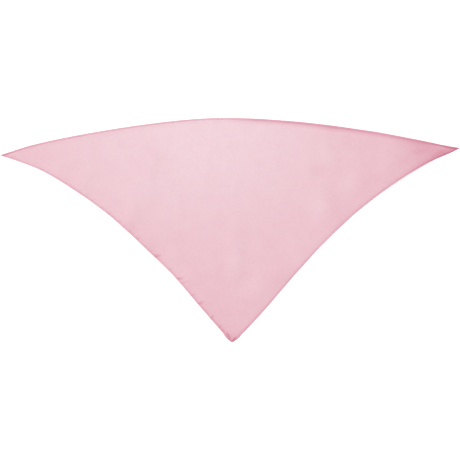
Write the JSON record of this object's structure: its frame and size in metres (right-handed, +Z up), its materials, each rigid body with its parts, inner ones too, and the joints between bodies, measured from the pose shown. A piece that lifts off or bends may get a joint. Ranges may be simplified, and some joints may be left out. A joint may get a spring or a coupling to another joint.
{
  "type": "neckerchief",
  "caption": "Thin triangular cloth neckerchief lying spread out, with a narrow hem rolled round each of its edges.",
  "frame": {"origin": "middle of the outline's box, on the surface that the cloth lies on", "axes": "+X along the neck edge from the left tip to the right tip, +Y from the bottom point towards the neck edge, +Z up off the surface"},
  "size_m": [0.9831, 0.4811, 0.0139],
  "materials": {
    "cloth": "pale pink plain weave",
    "hem_cloth": "deeper pink where the cloth is folded in layers"
  },
  "bodies": {
    "root": {"panel": "cloth", "neck_hem": "hem_cloth", "right_hem": "hem_cloth", "left_hem": "hem_cloth"}
  },
  "joints": []
}
